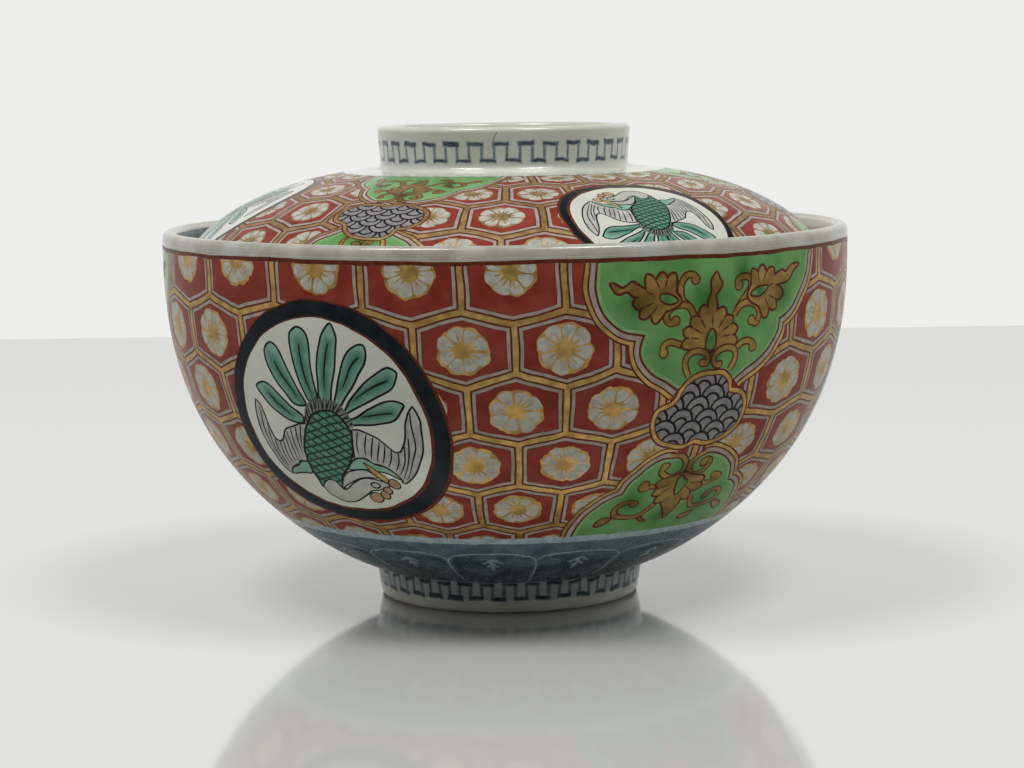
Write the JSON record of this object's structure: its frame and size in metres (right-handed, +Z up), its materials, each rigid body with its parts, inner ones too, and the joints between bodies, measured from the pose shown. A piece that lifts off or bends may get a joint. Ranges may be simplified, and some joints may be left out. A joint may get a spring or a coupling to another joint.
{
  "type": "lidded bowl",
  "caption": "Deep porcelain rice bowl on a low foot ring, with a domed lid that drops just inside the lip and lifts off by the ring on its crown.",
  "frame": {"origin": "centre of the foot ring on the surface that the bowl stands on", "axes": "+Z up along the throwing axis, -Y towards the viewer of the picture"},
  "size_m": [0.115, 0.115, 0.0794],
  "materials": {
    "bowl_porcelain": "gloss glaze with painted and gilt pattern",
    "lid_porcelain": "gloss glaze with painted and gilt pattern"
  },
  "bodies": {
    "bowl": {"bowl": "bowl_porcelain"},
    "lid": {"lid": "lid_porcelain"}
  },
  "joints": [
    {"name": "lid_lift", "type": "slide", "parent": "bowl", "child": "lid", "axis": [0, 0, 1], "range_m": [0, 0.06]}
  ]
}
